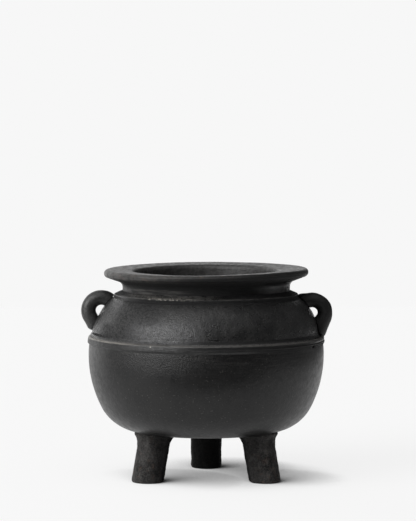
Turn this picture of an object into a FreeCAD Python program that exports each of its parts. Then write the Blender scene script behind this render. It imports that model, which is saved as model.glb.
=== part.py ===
import FreeCAD, Part
import math
import os

import Sketcher

# A cauldron planter in black clay, built up the way a potter builds one.
# A round bowl is moulded, a shoulder is set on its rim, a collar with a flared lip is set in the
# shoulder's mouth, a cordon is pressed over the seam, and two ears and three legs are luted on.
# Frame: +Z up, the floor at z = 0, the pot's axis on Z, the ears on X and one leg at the back on +Y.

# Driving dimensions: name, millimetres or degrees, meaning
SIZES = [
    ("wall", 10.0, "thickness of the bowl's wall"),
    ("bowl_radius", 166.2, "outer radius of the bowl at its widest"),
    ("base_height", 61.3, "floor to the underside of the bowl on its axis"),
    ("bowl_widest", 113.3, "underside of the bowl up to its widest level"),
    ("bowl_depth", 135.4, "underside of the bowl up to the seam under the cordon"),
    ("side_centre", 4.8, "distance from the axis to the centre of the bowl's side arc"),
    ("haunch_arc", 61.0, "radius of the arc between the bowl's side and its base"),
    ("base_arc", 730.0, "radius of the shallow dome of the bowl's base"),
    ("drain_radius", 8.0, "radius of the drain hole in the base"),
    ("key_width", 4.0, "width of the ridge that keys the shoulder to the bowl"),
    ("key_rise", 2.5, "height of that ridge"),
    ("cordon_proud", 1.5, "how far the cordon stands out past the widest part of the bowl"),
    ("cordon_below", 6.2, "cordon's lower edge below the seam"),
    ("cordon_above", 4.5, "cordon's upper edge above the seam"),
    ("cordon_edge", 3.0, "cordon's upper edge inside the widest radius of the bowl"),
    ("cordon_seat", 5.0, "depth of the cordon's seat, measured in from the widest radius"),
    ("shoulder_hollow", 5.2, "height of the hollow between the cordon and the shoulder's foot"),
    ("hollow_arc", 9.0, "radius of that hollow"),
    ("shoulder_setback", 8.0, "shoulder's foot inside the widest radius of the bowl"),
    ("shoulder_rise", 64.5, "seam up to the outer edge of the neck ledge"),
    ("shoulder_arc", 68.0, "radius of the shoulder's outer curve"),
    ("shoulder_inner_arc", 90.0, "radius of the shoulder's inner curve"),
    ("ledge_width", 11.4, "width of the ledge around the foot of the neck"),
    ("ledge_slope", 5.0, "rise of the ledge from its edge to the neck"),
    ("ledge_face", 6.0, "height of the ledge's steep face above the shoulder's curve"),
    ("ledge_batter", 3.0, "how far the foot of that face stands out from the ledge's edge"),
    ("ledge_round", 2.4, "rounding of the ledge's outer edge"),
    ("neck_radius", 118.2, "outer radius of the neck"),
    ("neck_rise", 36.2, "ledge's outer edge up to the crest of the lip"),
    ("collar_seat", 12.0, "depth of the neck's seat in the shoulder's mouth"),
    ("lip_overhang", 26.1, "how far the lip reaches out past the neck"),
    ("lip_thickness", 11.0, "thickness of the flared lip, round at its edge"),
    ("lip_slope", 21.5, "slope of the flared lip above level, in degrees"),
    ("throat_under", 9.8, "hollow rounding between the neck and the lip's underside"),
    ("collar_wall", 16.0, "thickness of the neck, which is heavier than the bowl"),
    ("mouth_dip", 2.4, "fall of the lip's top from its crest to the edge of the mouth"),
    ("mouth_round", 6.0, "rounding of the mouth's edge"),
    ("ear_thickness", 20.8, "diameter of the rolled clay of an ear"),
    ("ear_loop", 18.3, "radius of an ear's loop at the middle of the clay"),
    ("ear_reach_left", 28.6, "how far the left ear stands out from the shoulder at the loop's centre"),
    ("ear_reach_right", 28.0, "how far the right ear stands out from the shoulder at the loop's centre"),
    ("ear_lift_left", 6.5, "left loop's centre above the middle of the shoulder's slope"),
    ("ear_lift_right", 2.9, "right loop's centre above the middle of the shoulder's slope"),
    ("ear_slope_left", 61.0, "slope of the left ear's straight lower end, in degrees"),
    ("ear_slope_right", 69.0, "slope of the right ear's straight lower end, in degrees"),
    ("ear_run_left", 20.0, "length of the left ear's lower end, to its rounded tip"),
    ("ear_run_right", 30.0, "length of the right ear's lower end, most of it worked into the wall"),
    ("ear_tip", 9.0, "rounding of the tip of an ear's lower end"),
    ("leg_radius", 22.3, "radius of a leg"),
    ("leg_circle", 95.2, "radius of the circle that the legs stand on"),
    ("leg_splay", 11.0, "lean of a leg away from upright, in degrees"),
    ("leg_flare", 18.0, "hollow rounding at the root of a leg"),
    ("leg_flare_turn", 70.0, "how far that rounding turns before it runs into the bowl, in degrees"),
    ("leg_flare_drop", 6.0, "start of the rounding below the level of the bowl's underside"),
    ("leg_in_bowl", 35.0, "spare length of a leg above its rounding, trimmed by the bowl"),
    ("sole_round", 4.0, "rounding of the edge of a leg's sole"),
]

# The legs go evenly round the pot, anticlockwise from the one at the back
LEGS = ["leg_rear", "leg_front_left", "leg_front_right"]

# Places worked out from the driving dimensions, as expressions that the document keeps
SEAM_Z = "(Sizes.base_height + Sizes.bowl_depth)"
WIDEST_Z = "(Sizes.base_height + Sizes.bowl_widest)"
SIDE_ARC = "(Sizes.bowl_radius - Sizes.side_centre)"
BASE_CENTRE_Z = "(Sizes.base_height + Sizes.base_arc)"
SEAM_INNER_R = f"(Sizes.side_centre + sqrt(({SIDE_ARC} - Sizes.wall)^2 - ({SEAM_Z} - {WIDEST_Z})^2))"
CORDON_SEAT_R = "(Sizes.bowl_radius - Sizes.cordon_seat)"
CORDON_R = "(Sizes.bowl_radius + Sizes.cordon_proud)"
CORDON_LOW_Z = f"({SEAM_Z} - Sizes.cordon_below)"
CORDON_TOP_Z = f"({SEAM_Z} + Sizes.cordon_above)"
CORDON_LOW_R = f"(Sizes.side_centre + sqrt({SIDE_ARC}^2 - ({CORDON_LOW_Z} - {WIDEST_Z})^2))"
KEY_R = f"(({CORDON_SEAT_R} + {SEAM_INNER_R}) / 2)"
CORDON_TOP_R = "(Sizes.bowl_radius - Sizes.cordon_edge)"
SHOULDER_FOOT_R = "(Sizes.bowl_radius - Sizes.shoulder_setback)"
SHOULDER_FOOT_Z = f"({CORDON_TOP_Z} + Sizes.shoulder_hollow)"
LEDGE_R = "(Sizes.neck_radius + Sizes.ledge_width)"
LEDGE_Z = f"({SEAM_Z} + Sizes.shoulder_rise)"
LEDGE_FOOT_R = f"({LEDGE_R} + Sizes.ledge_batter)"
LEDGE_FOOT_Z = f"({LEDGE_Z} - Sizes.ledge_face)"
NECK_FOOT_Z = f"({LEDGE_Z} + Sizes.ledge_slope)"
NECK_INNER_R = "(Sizes.neck_radius - Sizes.collar_wall)"
COLLAR_SEAT_Z = f"({NECK_FOOT_Z} - Sizes.collar_seat)"
LIP_CENTRE_R = "(Sizes.neck_radius + Sizes.lip_overhang - Sizes.lip_thickness / 2)"
LIP_CENTRE_Z = f"({LEDGE_Z} + Sizes.neck_rise - Sizes.lip_thickness / 2)"
MOUTH_Z = f"({LEDGE_Z} + Sizes.neck_rise - Sizes.mouth_dip)"
SHOULDER_MIDDLE_R = f"(({SHOULDER_FOOT_R} + {LEDGE_FOOT_R}) / 2)"
SHOULDER_MIDDLE_Z = f"(({SHOULDER_FOOT_Z} + {LEDGE_FOOT_Z}) / 2)"
SHOULDER_RUN = f"({SHOULDER_FOOT_R} - {LEDGE_FOOT_R})"
SHOULDER_CLIMB = f"({LEDGE_FOOT_Z} - {SHOULDER_FOOT_Z})"
SHOULDER_BACK = f"sqrt(Sizes.shoulder_arc^2 / ({SHOULDER_RUN}^2 + {SHOULDER_CLIMB}^2) - 1 / 4)"
SHOULDER_CENTRE_R = f"({SHOULDER_MIDDLE_R} - {SHOULDER_CLIMB} * {SHOULDER_BACK})"
SHOULDER_CENTRE_Z = f"({SHOULDER_MIDDLE_Z} - {SHOULDER_RUN} * {SHOULDER_BACK})"
EAR_HALF = "(Sizes.ear_loop + Sizes.ear_thickness / 2)"
LEG_FLARE_Z = "(Sizes.base_height / cos(Sizes.leg_splay * 1 deg) - Sizes.leg_flare_drop)"
LEG_FLARE_TOP_Z = f"({LEG_FLARE_Z} + Sizes.leg_flare * sin(Sizes.leg_flare_turn * 1 deg))"
LEG_BELOW_FLOOR = "(2 * Sizes.leg_radius * tan(Sizes.leg_splay * 1 deg))"

# How a sketch counts the points of a line or arc, and its own two axes
FIRST, LAST, CENTRE = range(1, 4)
SKETCH_LEVEL, SKETCH_AXIS = range(-1, -3, -1)
PLACE_TOLERANCE = 1e-4


def make_sheet(doc):
    """The sheet of driving dimensions, one named cell each."""
    sheet = doc.addObject("Spreadsheet::Sheet", "Sizes")
    for row, (name, value, meaning) in enumerate(SIZES, start=1):
        sheet.set(f"A{row}", meaning)
        sheet.set(f"B{row}", str(value))
        sheet.setAlias(f"B{row}", name)
    doc.recompute()
    return sheet


class Outline:
    """A closed chain of lines and arcs in a body's upright plane, drawn from point to point.

    A coordinate given as an expression is dimensioned and bound to it. One given as a number is only
    where the point starts, and the neighbouring dimensions and tangencies settle it.
    """

    def __init__(self, body, name, r, z):
        self.sketch = body.newObject("Sketcher::SketchObject", name)
        self.sketch.AttachmentSupport = (origin_plane(body, "XZ_Plane"), [""])
        self.sketch.MapMode = "FlatFace"
        self.start = (r, z)
        self.here = self.point(r, z)
        self.ends = []

    def value(self, size):
        if isinstance(size, str):
            return float(self.sketch.Document.Sizes.evalExpression(size))
        return size

    def point(self, r, z):
        return FreeCAD.Vector(self.value(r), self.value(z), 0)

    def bind(self, kind, *place, to):
        """A dimension at that place, kept equal to an expression."""
        index = self.sketch.addConstraint(Sketcher.Constraint(kind, *place, self.value(to)))
        self.sketch.setExpression(f"Constraints[{index}]", to)

    def pin(self, geometry, end, r, z):
        """Binds the coordinates of a point that are expressions."""
        if isinstance(r, str):
            self.bind("DistanceX", geometry, end, to=r)
        if isinstance(z, str):
            self.bind("DistanceY", geometry, end, to=z)

    def on_axis(self, geometry, end):
        self.sketch.addConstraint(Sketcher.Constraint("PointOnObject", geometry, end, SKETCH_AXIS))

    def follow(self, geometry, first, last, to, smooth):
        """Joins a new piece to the one before it and remembers which of its ends is which."""
        if self.ends:
            before, _, before_last = self.ends[-1]
            kind = "Tangent" if smooth else "Coincident"
            self.sketch.addConstraint(Sketcher.Constraint(kind, before, before_last, geometry, first))
        self.ends.append((geometry, first, last))
        self.here = to
        return geometry

    def line(self, r, z, smooth=False):
        to = self.point(r, z)
        geometry = self.sketch.addGeometry(Part.LineSegment(self.here, to))
        self.follow(geometry, FIRST, LAST, to, smooth)
        self.pin(geometry, LAST, r, z)
        return geometry

    def arc(self, r, z, centre, ccw=True, smooth=False):
        to = self.point(r, z)
        angles = [math.atan2(p.y - centre.y, p.x - centre.x) for p in (self.here, to)]
        low, high = angles if ccw else reversed(angles)
        circle = Part.Circle(centre, FreeCAD.Vector(0, 0, 1), self.here.distanceToPoint(centre))
        geometry = self.sketch.addGeometry(Part.ArcOfCircle(circle, low, high))
        first, last = (FIRST, LAST) if ccw else (LAST, FIRST)
        self.follow(geometry, first, last, to, smooth)
        self.pin(geometry, last, r, z)
        return geometry

    def aim(self, r, z, *pieces):
        """Makes pieces pass through a point, or aim at it where a rounding has taken the corner off."""
        mark = self.sketch.addGeometry(Part.Point(self.point(r, z)), True)
        self.pin(mark, FIRST, r, z)
        for piece in pieces:
            self.sketch.addConstraint(Sketcher.Constraint("PointOnObject", mark, FIRST, piece))

    def close(self):
        """Draws the last line back to the start, and pins the start where it is an expression."""
        first_piece, first_end, _ = self.ends[0]
        geometry = self.sketch.addGeometry(Part.LineSegment(self.here, self.point(*self.start)))
        self.follow(geometry, FIRST, LAST, self.point(*self.start), False)
        self.sketch.addConstraint(Sketcher.Constraint("Coincident", geometry, LAST, first_piece, first_end))
        self.pin(geometry, LAST, *self.start)
        return geometry


def origin_plane(body, role):
    return next(f for f in body.Origin.OriginFeatures if f.Role == role)


def turned_round(degrees):
    """A placement that turns a piece about the pot's axis."""
    return FreeCAD.Placement(FreeCAD.Vector(), FreeCAD.Rotation(FreeCAD.Vector(0, 0, 1), degrees))


def revolve(body, sketch):
    """Turns an outline once round the pot's axis."""
    turned = body.newObject("PartDesign::Revolution", "Turned")
    turned.Profile = sketch
    turned.ReferenceAxis = (sketch, ["V_Axis"])
    turned.Angle = 360
    body.Tip = turned
    body.Document.recompute()
    return turned


def round_edge(body, feature, chosen, radius):
    """Rounds the edges of a feature that the test picks."""
    edges = [f"Edge{i}" for i, e in enumerate(feature.Shape.Edges, start=1) if chosen(e)]
    rounded = body.newObject("PartDesign::Fillet", "Rounded")
    rounded.Base = (feature, edges)
    rounded.setExpression("Radius", radius)
    body.Tip = rounded
    body.Document.recompute()
    return rounded


def circles_meet(centre_a, distance_a, centre_b, distance_b):
    """The lower outer point at those distances from two centres."""
    along = centre_b - centre_a
    gap = along.Length
    along.normalize()
    step = (distance_a**2 - distance_b**2 + gap**2) / (2 * gap)
    side = math.sqrt(distance_a**2 - step**2)
    return centre_a + along * step + FreeCAD.Vector(-along.y, along.x, 0) * side


def arc_centre(start, end, radius):
    """Centre of the arc of that radius from start to end, on the left of the way."""
    chord = end - start
    rise = math.sqrt(radius**2 - (chord.Length / 2) ** 2)
    left = FreeCAD.Vector(-chord.y, chord.x, 0)
    left.normalize()
    return (start + end) * 0.5 + left * rise


def bowl_arc_guesses(outline, inset):
    """Centres and meeting points of the base, haunch and side arcs, moved in by a wall thickness."""
    side_centre = outline.point("Sizes.side_centre", WIDEST_Z)
    base_centre = outline.point(0.0, BASE_CENTRE_Z)
    side, base = outline.value(SIDE_ARC) - inset, outline.value("Sizes.base_arc") - inset
    haunch = outline.value("Sizes.haunch_arc") - inset
    haunch_centre = circles_meet(base_centre, base - haunch, side_centre, side - haunch)
    to_base = haunch_centre + (haunch_centre - base_centre).normalize() * haunch
    to_side = haunch_centre + (haunch_centre - side_centre).normalize() * haunch
    return side_centre, haunch_centre, base_centre, to_base, to_side


def fix_bowl_arcs(outline, side, haunch, base, inset):
    """Radii and centres of the three arcs of a bowl's outer or inner face."""
    outline.bind("Radius", side, to=f"{SIDE_ARC} - {inset}")
    outline.bind("Radius", haunch, to=f"Sizes.haunch_arc - {inset}")
    outline.bind("Radius", base, to=f"Sizes.base_arc - {inset}")
    outline.pin(side, CENTRE, "Sizes.side_centre", WIDEST_Z)
    outline.on_axis(base, CENTRE)
    outline.bind("DistanceY", base, CENTRE, to=BASE_CENTRE_Z)


def outer_bowl(outline):
    """The bowl's outer face, from where the outline stands on the base up to the cordon's lower edge."""
    side_centre, haunch_centre, base_centre, to_base, to_side = bowl_arc_guesses(outline, 0.0)
    base = outline.arc(to_base.x, to_base.y, base_centre)
    haunch = outline.arc(to_side.x, to_side.y, haunch_centre, smooth=True)
    side = outline.arc(outline.value(CORDON_LOW_R), CORDON_LOW_Z, side_centre, smooth=True)
    fix_bowl_arcs(outline, side, haunch, base, "0")


def base_level(outline, r, inset):
    """Height of the base's dome at a radius, moved in by a wall thickness."""
    arc = outline.value("Sizes.base_arc") - inset
    return outline.value(BASE_CENTRE_Z) - math.sqrt(arc**2 - outline.value(r) ** 2)


def keyed_seam(outline, step):
    """The seam's face with its key, from the outside in, or from the inside out with step -1."""
    half = f"{step} * Sizes.key_width / 2"
    outline.line(f"{KEY_R} + {half}", SEAM_Z)
    outline.line(KEY_R, f"{SEAM_Z} + Sizes.key_rise")
    outline.line(f"{KEY_R} - {half}", SEAM_Z)


def shoulder_curve(outline):
    """The hollow over the cordon and the shoulder's outer curve, up to the foot of the ledge's face."""
    foot = outline.point(SHOULDER_FOOT_R, SHOULDER_FOOT_Z)
    hollow_centre = arc_centre(foot, outline.here, outline.value("Sizes.hollow_arc"))
    dip = outline.arc(SHOULDER_FOOT_R, SHOULDER_FOOT_Z, hollow_centre, ccw=False)
    outline.bind("Radius", dip, to="Sizes.hollow_arc")
    centre = arc_centre(foot, outline.point(LEDGE_FOOT_R, LEDGE_FOOT_Z), outline.value("Sizes.shoulder_arc"))
    curve = outline.arc(LEDGE_FOOT_R, LEDGE_FOOT_Z, centre)
    outline.bind("Radius", curve, to="Sizes.shoulder_arc")


def ledge_ring(outline):
    """The ledge's steep face, its round edge and its top, which rises to the neck."""
    edge = outline.point(LEDGE_R, LEDGE_Z)
    up_face = (edge - outline.here).normalize()
    inward = (outline.point("Sizes.neck_radius", NECK_FOOT_Z) - edge).normalize()
    rounding = outline.value("Sizes.ledge_round")
    half_turn = up_face.getAngle(inward) / 2
    leaves_face = edge - up_face * (rounding * math.tan(half_turn))
    joins_ledge = edge + inward * (rounding * math.tan(half_turn))
    centre = edge + (inward - up_face).normalize() * (rounding / math.cos(half_turn))
    face = outline.line(leaves_face.x, leaves_face.y)
    turn_over = outline.arc(joins_ledge.x, joins_ledge.y, centre, smooth=True)
    ledge = outline.line("Sizes.neck_radius", NECK_FOOT_Z, smooth=True)
    outline.bind("Radius", turn_over, to="Sizes.ledge_round")
    outline.aim(LEDGE_R, LEDGE_Z, face, ledge)


def cordon_curve(outline):
    """The cordon's round face from its lower edge over its crest to its upper edge."""
    crest = outline.point(CORDON_R, SEAM_Z)
    for r, z, smooth in ((CORDON_R, SEAM_Z, False), (CORDON_TOP_R, CORDON_TOP_Z, True)):
        other = outline.here if not smooth else outline.point(r, z)
        depth, height = crest.x - other.x, crest.y - other.y
        radius = (depth**2 + height**2) / (2 * depth)
        centre = FreeCAD.Vector(crest.x - radius, crest.y, 0)
        curve = outline.arc(r, z, centre, smooth=smooth)
        if not smooth:
            outline.bind("DistanceY", curve, CENTRE, to=SEAM_Z)


def make_bowl(doc):
    """The moulded lower half: base, haunch and side, with the drain hole and a keyed rim."""
    body = doc.addObject("PartDesign::Body", "Bowl")
    wall = doc.Sizes.wall
    outline = Outline(body, "BowlOutline", "Sizes.drain_radius", 0.0)
    outline.here.y = base_level(outline, "Sizes.drain_radius", 0.0)
    outline.start = ("Sizes.drain_radius", outline.here.y)
    outer_bowl(outline)
    outline.line(CORDON_SEAT_R, CORDON_LOW_Z)
    outline.line(CORDON_SEAT_R, SEAM_Z)
    keyed_seam(outline, 1)
    outline.line(outline.value(SEAM_INNER_R), SEAM_Z)
    side_centre, haunch_centre, base_centre, to_base, to_side = bowl_arc_guesses(outline, wall)
    side = outline.arc(to_side.x, to_side.y, side_centre, ccw=False)
    haunch = outline.arc(to_base.x, to_base.y, haunch_centre, ccw=False, smooth=True)
    drain_z = base_level(outline, "Sizes.drain_radius", wall)
    base = outline.arc("Sizes.drain_radius", drain_z, base_centre, ccw=False, smooth=True)
    fix_bowl_arcs(outline, side, haunch, base, "Sizes.wall")
    outline.close()
    revolve(body, outline.sketch)
    body.Label = "bowl"
    return body


def make_shoulder(doc):
    """The upper half: keyed to the bowl's rim below, with the ledge and the neck's seat above."""
    body = doc.addObject("PartDesign::Body", "Shoulder")
    outline = Outline(body, "ShoulderOutline", CORDON_SEAT_R, SEAM_Z)
    outline.line(CORDON_SEAT_R, CORDON_TOP_Z)
    outline.line(CORDON_TOP_R, CORDON_TOP_Z)
    shoulder_curve(outline)
    ledge_ring(outline)
    outline.line("Sizes.neck_radius", COLLAR_SEAT_Z)
    outline.line(NECK_INNER_R, COLLAR_SEAT_Z)
    seam_edge = outline.point(SEAM_INNER_R, SEAM_Z)
    centre = arc_centre(seam_edge, outline.here, doc.Sizes.shoulder_inner_arc)
    inside = outline.arc(SEAM_INNER_R, SEAM_Z, centre, ccw=False)
    outline.bind("Radius", inside, to="Sizes.shoulder_inner_arc")
    keyed_seam(outline, -1)
    outline.close()
    revolve(body, outline.sketch)
    body.Label = "shoulder"
    return body


def square_to(slope):
    """The upward direction square to a slope."""
    return FreeCAD.Vector(-math.sin(slope), math.cos(slope), 0)


def hollow(upright_r, on_line, slope, radius):
    """Centre and ends of a rounding below a sloping line, where it meets an upright face on its left."""
    along = FreeCAD.Vector(math.cos(slope), math.sin(slope), 0)
    foot = on_line - square_to(slope) * radius
    centre = foot + along * ((upright_r + radius - foot.x) / along.x)
    return centre, FreeCAD.Vector(upright_r, centre.y, 0), centre + square_to(slope) * radius


def make_collar(doc):
    """The neck and its flared lip, thrown as one ring and set in the shoulder's mouth."""
    body = doc.addObject("PartDesign::Body", "Collar")
    outline = Outline(body, "CollarOutline", "Sizes.neck_radius", COLLAR_SEAT_Z)
    half = doc.Sizes.lip_thickness / 2
    lip = outline.point(LIP_CENTRE_R, LIP_CENTRE_Z)
    mouth_edge = outline.point(NECK_INNER_R, MOUTH_Z)
    to_lip = lip - mouth_edge
    under_slope = math.radians(doc.Sizes.lip_slope)
    top_slope = math.atan2(to_lip.y, to_lip.x) + math.asin(half / to_lip.Length)
    under, over = lip - square_to(under_slope) * half, lip + square_to(top_slope) * half

    below, neck_end, under_start = hollow(outline.here.x, under, under_slope, doc.Sizes.throat_under)
    neck = outline.line(neck_end.x, neck_end.y)
    throat = outline.arc(under_start.x, under_start.y, below, ccw=False, smooth=True)
    underside = outline.line(under.x, under.y, smooth=True)
    edge = outline.arc(over.x, over.y, lip, smooth=True)
    inside, bore_start, top_end = hollow(mouth_edge.x, over, top_slope, doc.Sizes.mouth_round)
    top = outline.line(top_end.x, top_end.y, smooth=True)
    mouth = outline.arc(bore_start.x, bore_start.y, inside, smooth=True)
    bore = outline.line(NECK_INNER_R, COLLAR_SEAT_Z, smooth=True)
    outline.close()

    sketch = outline.sketch
    sketch.addConstraint(Sketcher.Constraint("Vertical", neck))
    sketch.addConstraint(Sketcher.Constraint("Vertical", bore))
    outline.bind("Radius", throat, to="Sizes.throat_under")
    outline.bind("Radius", mouth, to="Sizes.mouth_round")
    outline.bind("Radius", edge, to="Sizes.lip_thickness / 2")
    outline.pin(edge, CENTRE, LIP_CENTRE_R, LIP_CENTRE_Z)
    outline.aim(NECK_INNER_R, MOUTH_Z, top)
    index = sketch.addConstraint(Sketcher.Constraint("Angle", underside, under_slope))
    sketch.setExpression(f"Constraints[{index}]", "Sizes.lip_slope * 1 deg")
    revolve(body, sketch)
    body.Label = "neck_collar"
    return body


def make_cordon(doc):
    """The ring pressed into its seat over the seam."""
    body = doc.addObject("PartDesign::Body", "Cordon")
    outline = Outline(body, "CordonOutline", CORDON_SEAT_R, CORDON_LOW_Z)
    outline.line(CORDON_LOW_R, CORDON_LOW_Z)
    cordon_curve(outline)
    outline.line(CORDON_SEAT_R, CORDON_TOP_Z)
    outline.close()
    revolve(body, outline.sketch)
    body.Label = "shoulder_cordon"
    return body


def make_form(doc):
    """The pot's outside as one filled form, which trims the ears and legs to their seats.

    The ledge's face runs straight on up to the neck's radius, so the ledge's edge never meets an ear.
    """
    body = doc.addObject("PartDesign::Body", "Form")
    outline = Outline(body, "FormOutline", 0.0, "Sizes.base_height")
    outer_bowl(outline)
    cordon_curve(outline)
    shoulder_curve(outline)
    steepness = doc.Sizes.ledge_face / doc.Sizes.ledge_batter
    top_z = outline.here.y + (outline.here.x - doc.Sizes.neck_radius) * steepness
    face = outline.line("Sizes.neck_radius", top_z)
    outline.aim(LEDGE_R, LEDGE_Z, face)
    top = outline.line(0.0, top_z)
    outline.sketch.addConstraint(Sketcher.Constraint("Horizontal", top))
    outline.on_axis(top, LAST)
    outline.start = (0.0, outline.value("Sizes.base_height"))
    axis = outline.close()
    outline.on_axis(axis, LAST)
    revolve(body, outline.sketch)
    # The line where the turn starts and ends goes to the front, clear of every ear and leg
    body.Placement = turned_round(-90)
    body.Label = "outer_form"
    return body


def shoulder_radius(z):
    """The shoulder's outer radius at a height, as an expression."""
    return f"({SHOULDER_CENTRE_R} + sqrt(Sizes.shoulder_arc^2 - ({z} - {SHOULDER_CENTRE_Z})^2))"


def make_ear(doc, form, side, turn):
    """A roll of clay bent into a loop, luted on under the ledge and run down the shoulder below."""
    label = f"ear_{side}"
    loop_z = f"({SHOULDER_MIDDLE_Z} + Sizes.ear_lift_{side})"
    loop_r = f"({shoulder_radius(loop_z)} + Sizes.ear_reach_{side} - {EAR_HALF})"
    body = doc.addObject("PartDesign::Body", label + "_roll")
    section = body.newObject("Sketcher::SketchObject", "EarSection")
    section.AttachmentSupport = (origin_plane(body, "XY_Plane"), [""])
    section.MapMode = "FlatFace"
    # The sketch looks out along the ear, so that the roll's own seam line runs along its side
    section.AttachmentOffset = turned_round(-90)
    section.setExpression("AttachmentOffset.Base.z", loop_z)
    sizes = doc.Sizes
    axis_r = float(sizes.evalExpression(loop_r))
    inner_end = FreeCAD.Vector(0, axis_r - sizes.ear_loop, 0)
    roll = section.addGeometry(Part.Circle(inner_end, FreeCAD.Vector(0, 0, 1), sizes.ear_thickness / 2))
    axis_ends = [FreeCAD.Vector(end * sizes.ear_loop, axis_r, 0) for end in (1, -1)]
    axis = section.addGeometry(Part.LineSegment(*axis_ends), True)
    section.addConstraint(Sketcher.Constraint("PointOnObject", roll, CENTRE, SKETCH_AXIS))
    section.addConstraint(Sketcher.Constraint("Symmetric", axis, FIRST, axis, LAST, SKETCH_AXIS))
    for kind, place, value, size in (
        ("DistanceY", (axis, FIRST), axis_r, loop_r),
        ("DistanceX", (axis, LAST, axis, FIRST), 2 * sizes.ear_loop, "2 * Sizes.ear_loop"),
        ("DistanceY", (roll, CENTRE), inner_end.y, f"{loop_r} - Sizes.ear_loop"),
        ("Diameter", (roll,), sizes.ear_thickness, "Sizes.ear_thickness"),
    ):
        index = section.addConstraint(Sketcher.Constraint(kind, *place, value))
        section.setExpression(f"Constraints[{index}]", size)
    doc.recompute()

    loop = body.newObject("PartDesign::Revolution", "Loop")
    loop.Profile = section
    loop.ReferenceAxis = (section, ["Axis0"])
    loop.setExpression("Angle", f"270 - Sizes.ear_slope_{side}")
    body.Tip = loop
    doc.recompute()

    run = body.newObject("PartDesign::Pad", "Run")
    run.Profile = (loop, [lower_end(loop.Shape)])
    run.setExpression("Length", f"Sizes.ear_run_{side}")
    body.Tip = run
    doc.recompute()
    round_edge(body, run, lambda e: is_tip(e, loop.Shape), "Sizes.ear_tip")
    body.Placement = turned_round(turn)
    return trim(doc, body, form, label)


def lower_end(loop):
    """Name of the flat end face of an ear's loop that isn't level, where its straight end starts."""
    for number, face in enumerate(loop.Faces, start=1):
        if isinstance(face.Surface, Part.Plane) and abs(face.normalAt(0, 0).z) < 1 - PLACE_TOLERANCE:
            return f"Face{number}"
    raise RuntimeError("the ear's loop has no lower end")


def is_tip(edge, loop):
    """Whether an edge is the round one at the far end of an ear's straight end, clear of its loop."""
    return edge.Closed and loop.distToShape(edge)[0] > PLACE_TOLERANCE


def make_leg(doc, form, label, azimuth):
    """A splayed round leg with a flared root, a level sole and a rounded foot."""
    body = doc.addObject("PartDesign::Body", label + "_blank")
    sizes = doc.Sizes
    outline = Outline(body, "LegOutline", 0.0, f"-{LEG_BELOW_FLOOR}")
    sketch = outline.sketch
    sketch.setExpression("AttachmentOffset.Base.x", "Sizes.leg_circle")
    sketch.AttachmentOffset = FreeCAD.Placement(
        FreeCAD.Vector(sizes.leg_circle, 0, 0), FreeCAD.Rotation(FreeCAD.Vector(0, 0, 1), sizes.leg_splay)
    )
    sketch.setExpression("AttachmentOffset.Rotation.Angle", "Sizes.leg_splay * 1 deg")

    turn = math.radians(sizes.leg_flare_turn)
    top_r = sizes.leg_radius + sizes.leg_flare * (1 - math.cos(turn))
    foot = outline.line("Sizes.leg_radius", f"-{LEG_BELOW_FLOOR}")
    outline.line("Sizes.leg_radius", LEG_FLARE_Z)
    hollow_centre = outline.here + FreeCAD.Vector(sizes.leg_flare, 0, 0)
    flare = outline.arc(top_r, outline.value(LEG_FLARE_TOP_Z), hollow_centre, ccw=False, smooth=True)
    rise = outline.line(top_r, f"{LEG_FLARE_Z} + Sizes.leg_in_bowl")
    top = outline.line(0.0, f"{LEG_FLARE_Z} + Sizes.leg_in_bowl")
    outline.start = (0.0, outline.value(f"-{LEG_BELOW_FLOOR}"))
    outline.close()
    outline.on_axis(top, LAST)
    outline.on_axis(foot, FIRST)
    sketch.addConstraint(Sketcher.Constraint("Horizontal", foot))
    sketch.addConstraint(Sketcher.Constraint("Vertical", rise))
    outline.bind("Radius", flare, to="Sizes.leg_flare")
    outline.bind("DistanceY", flare, FIRST, to=LEG_FLARE_TOP_Z)
    doc.recompute()
    blank = revolve(body, sketch)

    below = Outline(body, "FloorLine", 0.0, 0.0)
    reach = "(Sizes.leg_circle + 3 * Sizes.leg_radius)"
    below.start = ("Sizes.leg_circle - 3 * Sizes.leg_radius", 0.0)
    below.here = below.point(*below.start)
    floor = below.line(reach, 0.0)
    below.line(reach, f"-3 * {LEG_BELOW_FLOOR}")
    below.line("Sizes.leg_circle - 3 * Sizes.leg_radius", f"-3 * {LEG_BELOW_FLOOR}")
    below.close()
    for end in (FIRST, LAST):
        below.sketch.addConstraint(Sketcher.Constraint("PointOnObject", floor, end, SKETCH_LEVEL))
    level = body.newObject("PartDesign::Pocket", "LevelSole")
    level.Profile = below.sketch
    level.Midplane = True
    level.setExpression("Length", "4 * Sizes.leg_radius")
    body.Tip = level
    doc.recompute()
    round_edge(body, level, lambda e: e.BoundBox.ZMax < PLACE_TOLERANCE, "Sizes.sole_round")
    body.Placement = turned_round(azimuth)
    return trim(doc, body, form, label)


def trim(doc, body, form, label):
    """Cuts a piece back to the pot's outside, so that it seats face to face."""
    cut = doc.addObject("Part::Cut", label)
    cut.Base = body
    cut.Tool = form
    cut.Label = label
    return cut


def check(doc, pieces):
    """Stops if anything failed to build or a piece isn't one sound solid."""
    for item in doc.Objects:
        if {"Invalid", "Error"} & set(item.State):
            raise RuntimeError(f"{item.Name} failed to build: {item.State}")
    for piece in pieces:
        shape = piece.Shape
        if shape.isNull() or not shape.isValid() or len(shape.Solids) != 1:
            raise RuntimeError(f"{piece.Label} isn't one sound solid")


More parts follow.
